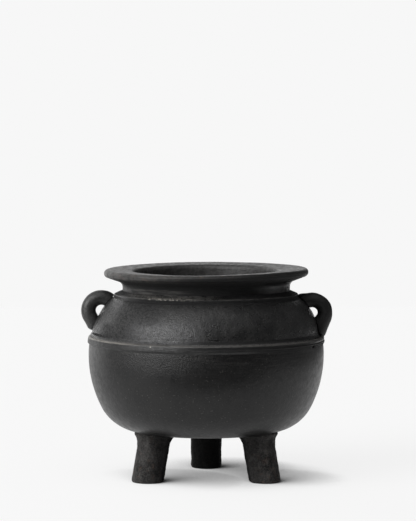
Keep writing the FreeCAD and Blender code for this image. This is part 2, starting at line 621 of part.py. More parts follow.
def main():
    doc = FreeCAD.newDocument("CauldronPlanter")
    make_sheet(doc)
    pieces = [make_bowl(doc), make_shoulder(doc), make_collar(doc), make_cordon(doc)]
    form = make_form(doc)
    pieces += [make_ear(doc, form, "left", 180), make_ear(doc, form, "right", 0)]
    for place, label in enumerate(LEGS):
        pieces.append(make_leg(doc, form, label, 90 + place * 360 / len(LEGS)))
    doc.recompute()
    check(doc, pieces)
    os.makedirs("parts", exist_ok=True)
    for piece in pieces:
        piece.Shape.exportStep(os.path.join("parts", piece.Label + ".step"))
        box = piece.Shape.optimalBoundingBox()
        print(f"{piece.Label}: {piece.Shape.Volume / 1000:.1f} cm3, z {box.ZMin:.2f} to {box.ZMax:.2f}")


main()
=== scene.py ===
import math

import bpy
import numpy as np
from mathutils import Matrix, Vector, noise


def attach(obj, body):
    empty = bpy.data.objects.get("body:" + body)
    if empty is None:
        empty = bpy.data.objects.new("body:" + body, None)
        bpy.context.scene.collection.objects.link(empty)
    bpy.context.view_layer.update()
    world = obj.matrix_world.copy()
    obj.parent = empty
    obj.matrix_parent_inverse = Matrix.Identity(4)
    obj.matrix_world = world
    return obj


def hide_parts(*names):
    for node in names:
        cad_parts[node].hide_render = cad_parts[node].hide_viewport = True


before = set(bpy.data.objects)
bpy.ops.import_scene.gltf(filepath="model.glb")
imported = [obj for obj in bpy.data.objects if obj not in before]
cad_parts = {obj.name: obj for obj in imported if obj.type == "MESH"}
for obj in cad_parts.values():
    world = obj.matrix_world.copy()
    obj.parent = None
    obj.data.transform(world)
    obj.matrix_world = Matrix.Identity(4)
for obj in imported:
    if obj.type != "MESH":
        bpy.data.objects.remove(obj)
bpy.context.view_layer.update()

# The cauldron planter in black clay. The four turned pieces are drawn again from the outline of their
# CAD node, fine enough for turning lines and grain. The ears and legs are remeshed copies of theirs.
# Lengths are in metres. Angles round the pot are in degrees to the right of its front.
MM = 0.001
ROOT = "root"


# Outlines of the turned nodes

DECIMALS = 6          # of a metre, to which two points agree that are the same
ON_PLANE = 1e-6       # the furthest that a point of the outline is from its plane
CORNER_TURN = 15      # degrees, past which an outline turns at a corner
SHARP_TURN = 38       # degrees, past which an edge is shaded as sharp
UNEVEN = 3            # a step this many times as long as the next is not averaged with it
UNDIVIDED = 1.0       # a spacing longer than any step
RELIEF_FADE = 2.5 * MM


def cut_outline(node):
    """The closed outline of a turned node in the half plane y = 0, x > 0, anticlockwise."""
    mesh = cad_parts[node].data
    places = [tuple(round(c, DECIMALS) for c in v.co) for v in mesh.vertices]
    beside = {}
    for edge in mesh.edges:
        a, b = (places[i] for i in edge.vertices)
        if a != b and all(abs(p[1]) < ON_PLANE and p[0] > 0 for p in (a, b)):
            beside.setdefault(a, []).append(b)
            beside.setdefault(b, []).append(a)
    start = min(beside)
    loop = [start, beside[start][0]]
    while loop[-1] != start:
        loop.append(next(p for p in beside[loop[-1]] if p != loop[-2]))
    points = np.array([(p[0], p[2]) for p in loop[:-1]])
    ahead = np.roll(points, -1, axis=0)
    area = np.sum(points[:, 0] * ahead[:, 1] - ahead[:, 0] * points[:, 1])
    return points if area > 0 else points[::-1]


def split_at_corners(points):
    """The outline as runs from corner to corner, each with both of its ends."""
    before = points - np.roll(points, 1, axis=0)
    after = np.roll(points, -1, axis=0) - points
    cross = before[:, 0] * after[:, 1] - before[:, 1] * after[:, 0]
    angles = np.degrees(np.arctan2(cross, np.sum(before * after, axis=1)))
    corners = [i for i, angle in enumerate(angles) if abs(angle) > CORNER_TURN]
    ends = corners[1:] + [corners[0] + len(points)]
    return [points[np.arange(a, b + 1) % len(points)] for a, b in zip(corners, ends)]


def directions_along(run):
    """The way the smooth curve through a run of points goes at each of them."""
    steps = np.diff(run, axis=0)
    lengths = np.linalg.norm(steps, axis=1)
    ways = steps / lengths[:, None]
    found = {}
    for i in range(1, len(run) - 1):
        before, after = lengths[i - 1], lengths[i]
        if max(before, after) < UNEVEN * min(before, after):
            way = ways[i - 1] * after + ways[i] * before
            found[i] = way / np.linalg.norm(way)
    for i in range(len(run)):
        if i not in found:
            # At an end, or beside a much shorter step, the curve of the longer step is carried on
            after = i == 0 or (i < len(run) - 1 and lengths[i] > lengths[i - 1])
            step, other = (i, i + 1) if after else (i - 1, i - 1)
            found[i] = 2 * ways[step] - found[other] if other in found else ways[step]
    return np.array([found[i] for i in range(len(run))])


def drawn_finely(run, spacing):
    """Points along the smooth curve through a run, about that far apart at most."""
    ways = directions_along(run)
    fine = []
    for i in range(len(run) - 1):
        length = np.linalg.norm(run[i + 1] - run[i])
        count = math.ceil(length / spacing)
        for t in np.arange(0, 1, 1 / count)[:count]:
            fine.append(
                (2 * t**3 - 3 * t**2 + 1) * run[i] + (t**3 - 2 * t**2 + t) * length * ways[i]
                + (3 * t**2 - 2 * t**3) * run[i + 1] + (t**3 - t**2) * length * ways[i + 1]
            )
    return np.array(fine + [run[-1]])


def turned(name, node, faces, segments, relief, sag=None):
    """A turned piece with relief on its faces.

    The faces are the runs of its node's outline by their rank in length, each with the spacing of its
    points. The relief is a height at a point of the plain shape, where its outline faces out and up by two
    shares. It dies out towards the ends of a run, where another piece takes over. The sag is how far the
    finished piece sinks at a point.
    """
    runs = split_at_corners(cut_outline(node))
    lengths = [np.sum(np.linalg.norm(np.diff(run, axis=0), axis=1)) for run in runs]
    by_length = sorted(range(len(runs)), key=lambda i: -lengths[i])
    spacing = {by_length[rank]: apart for rank, apart in faces.items()}
    outline, normals, weights = [], [], []
    for i, run in enumerate(runs):
        line = drawn_finely(run, spacing.get(i, UNDIVIDED))
        slope = np.gradient(line, axis=0)
        slope /= np.linalg.norm(slope, axis=1)[:, None]
        along = np.concatenate([[0], np.cumsum(np.linalg.norm(np.diff(line, axis=0), axis=1))])
        from_end = np.minimum(along, along[-1] - along)
        weight = np.clip(from_end / RELIEF_FADE, 0, 1) if i in spacing else np.zeros(len(line))
        outline.extend(line[:-1])
        normals.extend(np.column_stack([slope[:, 1], -slope[:, 0]])[:-1])
        weights.extend(weight[:-1])
    points = []
    for j in range(segments):
        turn = 2 * math.pi * j / segments
        c, s = math.cos(turn), math.sin(turn)
        for (r, z), (out, up), weight in zip(outline, normals, weights):
            lift = weight * relief(r * c, r * s, z, out, up) if weight > 0 else 0
            x, y, height = (r + lift * out) * c, (r + lift * out) * s, z + lift * up
            points.append((x, y, height - sag(x, y, height) if sag else height))
    count = len(outline)
    quads = []
    for j in range(segments):
        here, there = j * count, (j + 1) % segments * count
        for k in range(count):
            after = (k + 1) % count
            quads.append((here + k, there + k, there + after, here + after))
    mesh = bpy.data.meshes.new(name)
    mesh.from_pydata(points, [], quads)
    return place(name, mesh, node)


def place(name, mesh, node):
    """Puts a finished mesh in the scene in the place of its node."""
    mesh.shade_smooth()
    mesh.set_sharp_from_angle(angle=math.radians(SHARP_TURN))
    piece = bpy.data.objects.new(name, mesh)
    bpy.context.scene.collection.objects.link(piece)
    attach(piece, ROOT)
    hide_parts(node)
    return piece


# Relief, as a height at a point of the plain shape

# Layers of lumps: their depth, their size and how far they are squeezed in height
BOWL_LUMPS = [(0.35 * MM, 70 * MM, 1.0)]
BOWL_INNER_LUMPS = [(0.45 * MM, 45 * MM, 1.0)]
SHOULDER_LUMPS = [(0.45 * MM, 55 * MM, 1.0), (0.22 * MM, 8 * MM, 0.6), (0.18 * MM, 3.2 * MM, 0.7)]
SHOULDER_INNER_LUMPS = [(0.5 * MM, 40 * MM, 1.0)]
COLLAR_LUMPS = [(0.25 * MM, 50 * MM, 1.0), (0.10 * MM, 4 * MM, 1.0)]
CORDON_LUMPS = [(0.2 * MM, 30 * MM, 1.0)]
EAR_LUMPS = [(0.35 * MM, 12 * MM, 1.0), (0.10 * MM, 3.5 * MM, 1.0)]
LEG_LUMPS = [(0.65 * MM, 14 * MM, 1.0), (0.36 * MM, 5 * MM, 1.0), (0.2 * MM, 2.2 * MM, 1.0)]

# Turning lines: their depth, their pitch and how far they wander
BOWL_LINES = (0.14 * MM, 1.5 * MM, 0.8 * MM)
BOWL_INNER_LINES = (0.3 * MM, 5 * MM, 2 * MM)
SHOULDER_INNER_LINES = (0.4 * MM, 5 * MM, 2 * MM)
COLLAR_LINES = (0.13 * MM, 1.4 * MM, 0.8 * MM)
CORDON_LINES = (0.16 * MM, 1.8 * MM, 0.7 * MM)

# How fast turning lines change round the pot, and how fast they wander round it and up it, per metre
LINES_ROUND = 1.2
WANDER_ROUND = 8
WANDER_UP = 60

# The bowl's inside faces in, or up where it is nearly level. Outside, its lines fade out below the cordon
LEVEL_OUT = 0.2
LEVEL_UP = 0.5
LINES_TOP = 190.5 * MM
LINES_FADE = 16 * MM

# Rings: how far they stand out, their height on the pot and their half width
LEDGE_GROOVE = (-1.7 * MM, 256.8 * MM, 1.7 * MM)
CREST_RING = (1.1 * MM, 200.9 * MM, 1.3 * MM)
CREST_GROOVE = (-1.1 * MM, 197.4 * MM, 1.5 * MM)
LOWER_RING = (0.40 * MM, 193.4 * MM, 1.1 * MM)

# The groove under the cordon's crest deepens past an angle, and the lower ring wears off past another
GROOVE_FROM = -15
GROOVE_DEEPENS = 15
GROOVE_SHALLOW = 0.3
WEAR_FROM = 20
WEAR_GROWS = 25
WEAR_MOST = 0.8

# The pit in the cordon
PIT_ANGLE = 63.3
PIT_HEIGHT = 192.4 * MM
PIT_DEPTH = 4.5 * MM
PIT_ROUND = 2.8 * MM
PIT_UP = 1.6 * MM

# The fuller foot of the shoulder at the left
FOOT_DEPTH = 3.6 * MM
FOOT_TOP = 231 * MM
FOOT_RISE = 22 * MM
FOOT_ANGLE = -90
FOOT_WIDTH = 28

# The droop of the lip to the left, and the dip of its crest at the front
LIP_RADIUS = 143 * MM
DROOP = 2.0 * MM
DROOP_FROM = 267 * MM
DROOP_RISE = 18 * MM
DROOP_POWER = 1.5
DIP = 2.2 * MM
DIP_FROM = 290 * MM
DIP_RISE = 6 * MM
DIP_ANGLE = -12
DIP_WIDTH = 38

# The thicker roots of the right ear
RIGHT_EAR_ROOTS = (Vector((131 * MM, 0, 257 * MM)), Vector((152 * MM, 0, 222 * MM)))
ROOT_DEPTH = 4.0 * MM
ROOT_SIZE = 8 * MM

# The legs, and the flare at the outer side of their roots
LEG_CIRCLE = 95.2 * MM
LEG_SPLAY = math.radians(11)
LEG_RADIUS = 22.3 * MM
FLARE = 7.0 * MM
FLARE_FROM = 47 * MM
FLARE_RISE = 25 * MM
FLARE_POWER = 1.6


def held(value, low=0.0, high=1.0):
    """The value, kept between two others."""
    return min(max(value, low), high)


def hump(value, middle, width):
    """A smooth hump, 1 at its middle and about a third a width away."""
    return math.exp(-((value - middle) / width) ** 2)


def turn_of(x, y):
    """The angle of a point round the pot."""
    return math.degrees(math.atan2(x, -y))


def lumps(x, y, z, layers):
    """The sum of layers of smooth noise, drawn out in height where the squeeze is below 1."""
    return sum(depth * noise.noise(Vector((x, y, z * squeeze)) / size) for depth, size, squeeze in layers)


def turning_lines(x, y, z, depth, pitch, wander):
    """Shallow rings from a turning tool, uneven in pitch and wandering a little round the pot."""
    drift = wander * noise.noise(Vector((x * WANDER_ROUND, y * WANDER_ROUND, z * WANDER_UP)))
    return depth * noise.noise(Vector((x * LINES_ROUND, y * LINES_ROUND, (z + drift) / pitch)))


def ring(z, depth, height, width):
    """A smooth ring round the pot."""
    return depth * hump(z, height, width)


def bowl_relief(x, y, z, out, up):
    """Slow lumps, with lines under the cordon and inside."""
    if out < 0 or (out < LEVEL_OUT and up > LEVEL_UP):
        return lumps(x, y, z, BOWL_INNER_LUMPS) + turning_lines(x, y, z, *BOWL_INNER_LINES)
    near_cordon = max(0.0, 1 - (LINES_TOP - z) / LINES_FADE)
    return lumps(x, y, z, BOWL_LUMPS) + near_cordon * turning_lines(x, y, z, *BOWL_LINES)


def shoulder_relief(x, y, z, out, up):
    """Grainy lumps, a fuller foot at the left and a groove under the ledge, and lines inside."""
    if out < 0:
        return lumps(x, y, z, SHOULDER_INNER_LUMPS) + turning_lines(x, y, z, *SHOULDER_INNER_LINES)
    low = held((FOOT_TOP - z) / FOOT_RISE)
    foot = FOOT_DEPTH * low * hump(turn_of(x, y), FOOT_ANGLE, FOOT_WIDTH)
    return lumps(x, y, z, SHOULDER_LUMPS) + foot + ring(z, *LEDGE_GROOVE)


def collar_relief(x, y, z, out, up):
    """Lumps and fine lines all over."""
    return lumps(x, y, z, COLLAR_LUMPS) + turning_lines(x, y, z, *COLLAR_LINES)


def lip_sag(x, y, z):
    """The lip droops towards the left and its crest dips at the front. The seated neck stays as it is."""
    above_neck = held((z - DROOP_FROM) / DROOP_RISE)
    droop = DROOP * above_neck * max(0.0, -x / LIP_RADIUS) ** DROOP_POWER
    crest = held((z - DIP_FROM) / DIP_RISE)
    return droop + DIP * crest * hump(turn_of(x, y), DIP_ANGLE, DIP_WIDTH)


def cordon_relief(x, y, z, out, up):
    """Lumps and lines, a crest over a groove and a lower ring, and one pit."""
    turn = turn_of(x, y)
    cut_deep = held((turn - GROOVE_FROM) / GROOVE_DEEPENS, GROOVE_SHALLOW)
    worn_off = held((turn - WEAR_FROM) / WEAR_GROWS, 0.0, WEAR_MOST)
    height = lumps(x, y, z, CORDON_LUMPS) + turning_lines(x, y, z, *CORDON_LINES)
    height += ring(z, *CREST_RING)
    height += cut_deep * ring(z, *CREST_GROOVE)
    height += (1 - worn_off) * ring(z, *LOWER_RING)
    from_pit = math.radians(turn - PIT_ANGLE) * math.hypot(x, y)
    return height - PIT_DEPTH * hump(from_pit, 0, PIT_ROUND) * hump(z, PIT_HEIGHT, PIT_UP)


def ear_relief(x, y, z):
    """Uneven rolled clay, with thicker roots on the right ear, over its top and inside its loop."""
    point = Vector((x, y, z))
    roots = sum(hump((point - root).length, 0, ROOT_SIZE) for root in RIGHT_EAR_ROOTS)
    return lumps(x, y, z, EAR_LUMPS) + ROOT_DEPTH * roots


def leg_relief(x, y, z):
    """Uneven clay, smeared up onto the bowl at the outer side of the root, and never below the floor."""
    climb = held((z - FLARE_FROM) / FLARE_RISE)
    axis = LEG_CIRCLE - z * math.tan(LEG_SPLAY)
    outward = held((math.hypot(x, y) - axis) / LEG_RADIUS)
    flare = FLARE * climb ** FLARE_POWER * outward
    return min(lumps(x, y, z, LEG_LUMPS) + flare, z)


# Ears and legs, remeshed and worked over

WELD_GAP = 0.01 * MM
SOFTEN_SHARE = 0.5
SOFTEN_ROUNDS = 4


def remeshed(name, node, voxel, relief):
    """A fine even copy of a node, with relief along its normals."""
    copy = bpy.data.objects.new(name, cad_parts[node].data.copy())
    bpy.context.scene.collection.objects.link(copy)
    weld = copy.modifiers.new("weld", "WELD")
    weld.merge_threshold = WELD_GAP
    even = copy.modifiers.new("even", "REMESH")
    even.mode = "VOXEL"
    even.voxel_size = voxel
    soft = copy.modifiers.new("soft", "SMOOTH")
    soft.factor = SOFTEN_SHARE
    soft.iterations = SOFTEN_ROUNDS
    made = copy.evaluated_get(bpy.context.evaluated_depsgraph_get())
    mesh = bpy.data.meshes.new_from_object(made)
    bpy.data.objects.remove(copy)
    mesh.name = name
    worked_over = [v.co + v.normal * relief(*v.co) for v in mesh.vertices]
    mesh.vertices.foreach_set("co", np.array(worked_over).ravel())
    return place(name, mesh, node)


# Nodes of the materials

NOISE_ROUGHNESS = 0.6
DROP_HEIGHT = (1, 1, 0)
SPOT_FULL = 0.6       # the share of a spot's size within which it is full


def add(tree, kind, sockets, **settings):
    """A node with its settings, and values or links for its sockets."""
    made = tree.nodes.new(kind)
    for name, value in settings.items():
        setattr(made, name, value)
    for name, value in sockets.items():
        if isinstance(value, bpy.types.NodeSocket):
            tree.links.new(value, made.inputs[name])
        else:
            made.inputs[name].default_value = value
    return made


def maths(tree, operation, a, b):
    """A sum, product or the like of two numbers."""
    return add(tree, "ShaderNodeMath", {0: a, 1: b}, operation=operation).outputs[0]


def all_of(tree, *shares):
    """The product of several shares."""
    result = shares[0]
    for share in shares[1:]:
        result = maths(tree, "MULTIPLY", result, share)
    return result


def mixed(tree, share, a, b):
    """One colour over another by a share."""
    return add(tree, "ShaderNodeMix", {0: share, 6: a, 7: b}, data_type="RGBA").outputs[2]


def blended(tree, share, a, b):
    """One number over another by a share."""
    return add(tree, "ShaderNodeMix", {0: share, 2: a, 3: b}, data_type="FLOAT").outputs[0]


def spread(tree, value, low, high, to_low, to_high, smooth=True):
    """Carries a span of values over to another, held at its ends."""
    kind = "SMOOTHSTEP" if smooth else "LINEAR"
    return add(tree, "ShaderNodeMapRange",
               {"Value": value, "From Min": low, "From Max": high, "To Min": to_low, "To Max": to_high},
               interpolation_type=kind).outputs[0]


def point_in(tree):
    """The point on the pot."""
    return add(tree, "ShaderNodeTexCoord", {}).outputs["Object"]


def coordinate(tree, axis):
    """The X, Y or Z of the point."""
    return add(tree, "ShaderNodeSeparateXYZ", {0: point_in(tree)}).outputs[axis]


def on_floor(tree):
    """The point brought down to the floor."""
    sockets = {0: point_in(tree), 1: DROP_HEIGHT}
    return add(tree, "ShaderNodeVectorMath", sockets, operation="MULTIPLY").outputs[0]


def away_from_axis(tree):
    """How far the point is from the pot's axis."""
    return add(tree, "ShaderNodeVectorMath", {0: on_floor(tree)}, operation="LENGTH").outputs["Value"]


def grain(tree, size, detail, squeeze):
    """Noise from 0 to 1 with features of a size, squeezed in height, or drawn out where that is below 1."""
    scale = (1 / size, 1 / size, squeeze / size)
    scaled = add(tree, "ShaderNodeMapping", {"Vector": point_in(tree), "Scale": scale}).outputs[0]
    sockets = {"Vector": scaled, "Scale": 1.0, "Detail": detail, "Roughness": NOISE_ROUGHNESS}
    return add(tree, "ShaderNodeTexNoise", sockets).outputs[0]


def mottled(tree, size, detail, squeeze, span, shares):
    """Grain with a span of its values carried over to a span of shares."""
    return spread(tree, grain(tree, size, detail, squeeze), *span, *shares)


def band(tree, value, low, high, soft):
    """1 from low to high, fading to 0 past each."""
    return maths(tree, "MULTIPLY", spread(tree, value, low - soft, low, 0.0, 1.0),
                 spread(tree, value, high, high + soft, 1.0, 0.0))


def facing(tree, angle, full, end):
    """1 up to some degrees to either side of an angle round the pot, fading to 0 at more degrees."""
    level = add(tree, "ShaderNodeVectorMath", {0: on_floor(tree)}, operation="NORMALIZE").outputs[0]
    turn = math.radians(angle)
    likeness = add(tree, "ShaderNodeVectorMath", {0: level, 1: (math.sin(turn), -math.cos(turn), 0)},
                   operation="DOT_PRODUCT").outputs["Value"]
    return spread(tree, likeness, math.cos(math.radians(end)), math.cos(math.radians(full)), 0.0, 1.0)


def spot(tree, angle, radius, height, size):
    """1 round a point at an angle round the pot, fading to 0 at a size."""
    turn = math.radians(angle)
    point = (radius * math.sin(turn), -radius * math.cos(turn), height)
    gap = add(tree, "ShaderNodeVectorMath", {0: point_in(tree), 1: point}, operation="DISTANCE")
    return spread(tree, gap.outputs["Value"], SPOT_FULL * size, size, 1.0, 0.0)


# Clay

# Pale dust, and also painted highlight on lit crests and edges
DUST_AND_HIGHLIGHT = (0.085, 0.082, 0.078, 1)
# Pale crumbs of clay, and also painted highlight at the left end of the cordon's crest
CRUMBS_AND_HIGHLIGHT = (0.24, 0.225, 0.20, 1)
# Painted shade: a near-black laid where the pot is in shade
PAINTED_SHADE = (0.004, 0.004, 0.0042, 1)
EARTH = (0.105, 0.070, 0.055, 1)
# Painted highlight: a paler grey where the main light glints on the shoulder
PAINTED_HIGHLIGHT = (0.06, 0.06, 0.062, 1)
DRY = (0.064, 0.0625, 0.061, 1)
DULL = 0.85           # the roughness of most painted shade

# Each mottle: its size, detail and squeeze, a span of its values, and the shares that this becomes
CLOUDS = (26 * MM, 3.0, 1.0, (0.35, 0.65), (0.0, 1.0))
FINE_GRAIN = (1.8 * MM, 2.0, 1.0, (0.42, 0.62), (0.0, 1.0))
UNEVEN_GLOSS = (7 * MM, 4.0, 1.0, (0.35, 0.65))
BUMP_DETAIL = 2.0


def share_of(tree, *shares, sides=None, heights=None, mottle=None):
    """How far a patch covers: the product of some shares and of the limits that are given.

    The sides are an angle round the pot, with how many degrees the patch is full and where it ends to either
    side. The heights are a lower and an upper one, and how far the patch fades past them.
    """
    limits = list(shares)
    if sides:
        limits.append(facing(tree, *sides))
    if heights:
        limits.append(band(tree, coordinate(tree, "Z"), *heights))
    if mottle:
        limits.append(mottled(tree, *mottle))
    return all_of(tree, *limits)


def patched(tree, looks, share, paint, strength=1.0, roughness=None):
    """A colour and roughness with a paint over them by a share, and with the roughness it brings, if any."""
    colour, rough = looks
    cover = share if strength == 1.0 else maths(tree, "MULTIPLY", share, strength)
    if roughness is not None:
        rough = blended(tree, share, rough, roughness)
    return mixed(tree, cover, colour, paint), rough


def clay(name, dark, light, roughness, grains, patches, shine=0.5):
    """Black clay: a colour that varies slowly and in grains, uneven gloss, and fine relief.

    The grains are a size and a depth, how far they are squeezed in height, and where they are if not all
    over. The patches change the colour and the roughness in places.
    """
    material = bpy.data.materials.new(name)
    material.use_nodes = True
    tree = material.node_tree
    shader = tree.nodes["Principled BSDF"]
    shader.inputs["Specular IOR Level"].default_value = shine
    both = maths(tree, "ADD", mottled(tree, *CLOUDS), mottled(tree, *FINE_GRAIN))
    colour = mixed(tree, maths(tree, "MULTIPLY", both, 0.5), (*dark, 1), (*light, 1))
    rough = mottled(tree, *UNEVEN_GLOSS, roughness)
    colour, rough = patches(tree, (colour, rough))
    tree.links.new(colour, shader.inputs["Base Color"])
    tree.links.new(rough, shader.inputs["Roughness"])
    normal = None
    for size, depth, squeeze, *within in grains:
        height = all_of(tree, grain(tree, size, BUMP_DETAIL, squeeze), *(share(tree) for share in within))
        sockets = {"Height": height, "Distance": depth, "Strength": 1.0}
        if normal:
            sockets["Normal"] = normal
        normal = add(tree, "ShaderNodeBump", sockets).outputs[0]
    tree.links.new(normal, shader.inputs["Normal"])
    return material


def upper_bowl(tree):
    """Where the worked grain runs down onto the bowl, at the front under the cordon."""
    high = spread(tree, coordinate(tree, "Z"), 146 * MM, 178 * MM, 0.0, 1.0)
    return share_of(tree, high, sides=(-6, 26, 62))


def bowl_patches(tree, looks):
    """Fine turned streaks under the cordon, and faint specks all over."""
    high = spread(tree, coordinate(tree, "Z"), 150 * MM, 190 * MM, 0.0, 0.2)
    streaks = share_of(tree, high, mottle=(30 * MM, 3.0, 18.0, (0.5, 0.68), (0.0, 1.0)))
    looks = patched(tree, looks, streaks, DUST_AND_HIGHLIGHT, roughness=0.62)
    specks = mottled(tree, 2.6 * MM, 1.0, 1.0, (0.66, 0.76), (0.0, 0.45))
    return patched(tree, looks, specks, DUST_AND_HIGHLIGHT)


def shoulder_patches(tree, looks):
    """Painted shade and highlight at the left, dust, crumbs, painted shade and highlight on the ledge, and
    painted shade in the groove and at the foot.
    """
    # Painted shade: two dark, dull patches on the left of the shoulder, where it is in shade
    for angle, low, high in ((-41, 230 * MM, 254 * MM), (-52, 209 * MM, 221 * MM)):
        shade_patch = share_of(tree, sides=(angle, 7, 20), heights=(low, high, 9 * MM),
                          mottle=(4 * MM, 4.0, 1.6, (0.3, 0.6), (1.0, 0.4)))
        looks = patched(tree, looks, shade_patch, PAINTED_SHADE, roughness=DULL)
    # Painted highlight: a paler patch low on the front left, where the main light glints
    highlight_patch = share_of(tree, sides=(-23, 8, 26), heights=(203 * MM, 224 * MM, 14 * MM),
                      mottle=(5 * MM, 4.0, 1.6, (0.36, 0.62), (0.2, 0.9)))
    looks = patched(tree, looks, highlight_patch, PAINTED_HIGHLIGHT)
    # Painted shade in the crease at the shoulder's foot, on the right
    shaded_foot = share_of(tree, sides=(28, 26, 46), heights=(203.8 * MM, 206.6 * MM, 0.9 * MM))
    looks = patched(tree, looks, shaded_foot, PAINTED_SHADE, strength=0.8, roughness=DULL)
    # Painted highlight: a pale, patchy line just over the cordon, at the front and left
    highlight_over_cordon = share_of(tree, sides=(-28, 52, 88), heights=(201.2 * MM, 202.6 * MM, 0.8 * MM),
                           mottle=(7 * MM, 3.0, 2.5, (0.3, 0.62), (0.2, 0.75)))
    looks = patched(tree, looks, highlight_over_cordon, DUST_AND_HIGHLIGHT)
    ledge_top = share_of(tree, heights=(261.6 * MM, 267.0 * MM, 0.8 * MM))
    dusty_ledge = share_of(tree, ledge_top, sides=(-30, 16, 44),
                           mottle=(14 * MM, 3.0, 5.0, (0.34, 0.6), (0.0, 0.9)))
    looks = patched(tree, looks, dusty_ledge, DUST_AND_HIGHLIGHT)
    # Painted shade on the ledge top, at the right and beside the left ear
    for sides in ((90, 60, 85), (-96, 18, 40)):
        looks = patched(tree, looks, share_of(tree, ledge_top, sides=sides), PAINTED_SHADE, roughness=DULL)
    # Painted shade in the groove under the ledge, all round but at the left
    groove = share_of(tree, sides=(60, 100, 125), heights=(254.9 * MM, 260.0 * MM, 0.8 * MM))
    looks = patched(tree, looks, groove, PAINTED_SHADE, strength=0.85, roughness=0.9)
    crumbs = share_of(tree, sides=(-24, 11, 20), heights=(260.3 * MM, 262.4 * MM, 0.5 * MM),
                      mottle=(3.4 * MM, 1.0, 1.0, (0.44, 0.6), (0.0, 0.9)))
    looks = patched(tree, looks, crumbs, CRUMBS_AND_HIGHLIGHT)
    # Painted highlight along the ledge's edge, at the front
    highlight_on_edge = share_of(tree, sides=(-5, 50, 80), heights=(261.0 * MM, 261.9 * MM, 0.4 * MM),
                           mottle=(12 * MM, 3.0, 1.0, (0.35, 0.6), (0.15, 0.7)))
    return patched(tree, looks, highlight_on_edge, DUST_AND_HIGHLIGHT)


def cordon_patches(tree, looks):
    """Dust and painted highlight on the crest, palest at the left, painted shade in the groove under it, one
    crumb, and painted shade in the pit.
    """
    # Dust and painted highlight on the crest, along its upper slope
    crest = share_of(tree, heights=(200.4 * MM, 203.0 * MM, 0.6 * MM),
                     mottle=(9 * MM, 3.0, 2.0, (0.32, 0.6), (0.5, 1.0)))
    looks = patched(tree, looks, crest, DUST_AND_HIGHLIGHT)
    # Painted highlight, strongest at the crest's left end
    highlit_end = share_of(tree, crest, sides=(-62, 12, 32))
    looks = patched(tree, looks, highlit_end, CRUMBS_AND_HIGHLIGHT, strength=0.6)
    # Painted shade in the groove under the crest and along the lower edge, on the right
    groove = share_of(tree, sides=(26, 26, 42), heights=(196.2 * MM, 198.6 * MM, 0.7 * MM))
    shaded_lower_edge = share_of(tree, sides=(62, 26, 48), heights=(190.0 * MM, 194.4 * MM, 0.6 * MM))
    shade_share = maths(tree, "MAXIMUM", groove, shaded_lower_edge)
    looks = patched(tree, looks, shade_share, PAINTED_SHADE, strength=0.8, roughness=DULL)
    crumb = spot(tree, angle=-26.9, radius=167.7 * MM, height=199.7 * MM, size=1.7 * MM)
    looks = patched(tree, looks, crumb, CRUMBS_AND_HIGHLIGHT)
    # Painted shade inside the pit
    pit = spot(tree, angle=PIT_ANGLE, radius=166.0 * MM, height=PIT_HEIGHT, size=4.4 * MM)
    return patched(tree, looks, pit, PAINTED_SHADE, roughness=0.95)


def collar_patches(tree, looks):
    """Painted shade on the neck with pale streaks at the left, earth, painted highlight and painted shade on
    the lip, and a dry inside.
    """
    away = away_from_axis(tree)
    outside = spread(tree, away, 108 * MM, 112 * MM, 0.0, 1.0)
    # Painted shade on the neck under the lip, duller towards the front
    neck = share_of(tree, outside, heights=(255 * MM, 283 * MM, 3 * MM))
    colour, rough = patched(tree, looks, neck, PAINTED_SHADE, strength=0.92)
    looks = colour, blended(tree, share_of(tree, neck, sides=(-10, 35, 60)), rough, DULL)
    streak = share_of(tree, neck, sides=(-46, 16, 40), heights=(262 * MM, 272 * MM, 2 * MM),
                      mottle=(26 * MM, 3.0, 14.0, (0.44, 0.62), (0.05, 0.65)))
    looks = patched(tree, looks, streak, DUST_AND_HIGHLIGHT)
    lip = spread(tree, coordinate(tree, "Z"), 283 * MM, 287 * MM, 0.0, 1.0)
    earthy = share_of(tree, lip, sides=(-40, 40, 95), mottle=(11 * MM, 4.0, 1.0, (0.5, 0.7), (0.0, 0.4)))
    looks = patched(tree, looks, earthy, EARTH)
    brim = spread(tree, away, 128 * MM, 136 * MM, 0.0, 0.5)
    # Painted highlight on the lip's outer edge, at the left
    highlit_brim = share_of(tree, brim, sides=(-80, 55, 95), heights=(284 * MM, 294 * MM, 3 * MM),
                          mottle=(6 * MM, 4.0, 1.0, (0.35, 0.62), (0.2, 1.0)))
    looks = patched(tree, looks, highlit_brim, DUST_AND_HIGHLIGHT)
    # Painted shade on the lip's outer edge, on the right
    edge = spread(tree, away, 132 * MM, 138 * MM, 0.0, 1.0)
    shaded_brim = share_of(tree, edge, sides=(25, 30, 60), heights=(284 * MM, 291 * MM, 2 * MM))
    looks = patched(tree, looks, shaded_brim, PAINTED_SHADE, strength=0.8, roughness=0.75)
    mouth = spread(tree, away, 104 * MM, 108 * MM, 1.0, 0.0)
    inside = share_of(tree, mouth, mottle=(5 * MM, 4.0, 1.0, (0.35, 0.65), (0.2, 0.7)))
    return patched(tree, looks, inside, DRY)


def ear_patches(tree, looks):
    """Painted shade on the right ear, on the side away from the light."""
    return patched(tree, looks, facing(tree, 90, 60, 85), PAINTED_SHADE, strength=0.8, roughness=0.55)


